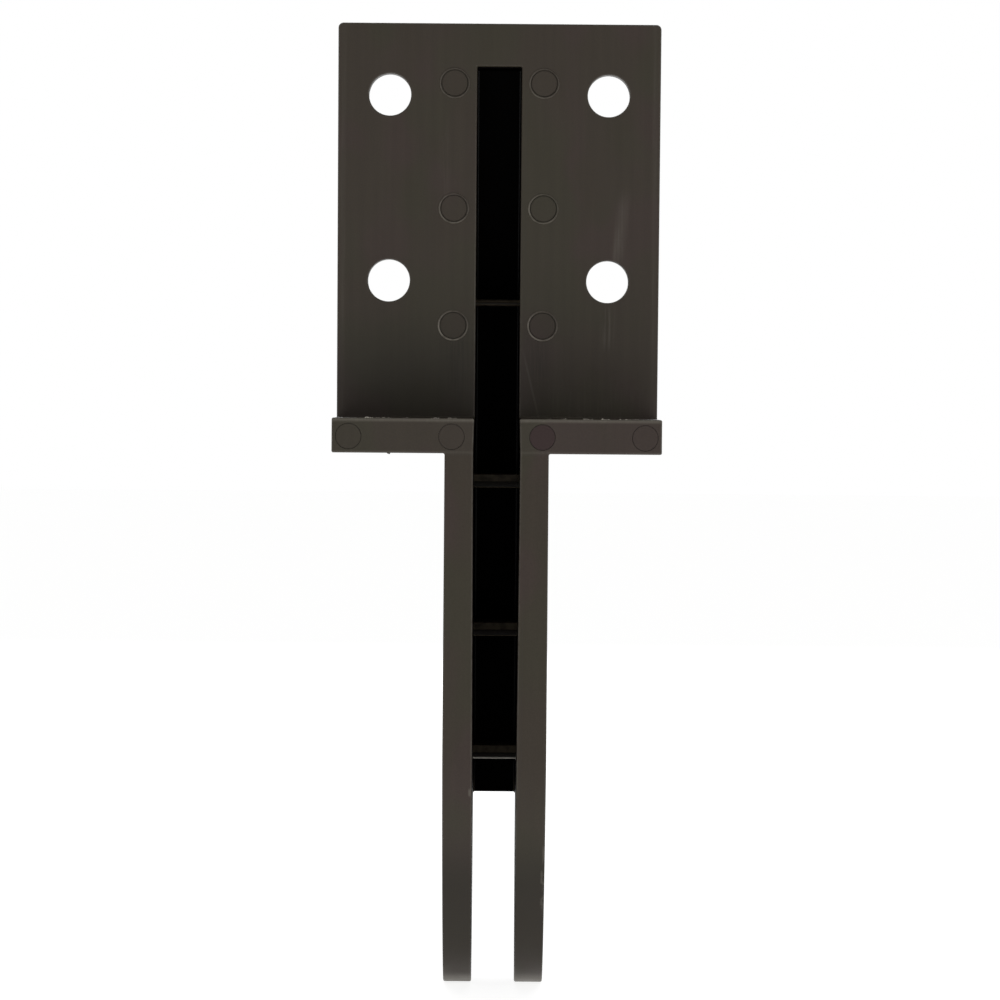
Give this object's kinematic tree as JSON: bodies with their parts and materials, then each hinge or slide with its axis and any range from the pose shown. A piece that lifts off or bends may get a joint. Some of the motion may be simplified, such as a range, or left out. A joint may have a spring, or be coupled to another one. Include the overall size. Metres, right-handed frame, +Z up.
{
  "type": "post anchor spike",
  "caption": "Moulded ground anchor for a wooden post: a slotted plate with screw holes, a shelf for the post's foot and blades driven into soil.",
  "frame": {"origin": "middle of the anchor at the soil line, on the underside of the shelf and in the plane of the plate's front face", "axes": "+Z up out of the soil, -Y out of the plate's front face towards the post, +X across the plate to the viewer's right"},
  "size_m": [0.0896, 0.073, 0.2663],
  "materials": {
    "anchor_plastic": "satin moulded, dark brown-grey",
    "channel_plastic": "satin moulded, dark brown-grey, in shade"
  },
  "bodies": {
    "root": {"face_plate": "anchor_plastic", "left_shelf": "anchor_plastic", "right_shelf": "anchor_plastic", "left_blade": "anchor_plastic", "right_blade": "anchor_plastic", "rear_web": "channel_plastic", "top_web": "channel_plastic", "cross_rib_1": "channel_plastic", "cross_rib_2": "channel_plastic", "cross_rib_3": "channel_plastic", "cross_rib_4": "channel_plastic"}
  },
  "joints": []
}
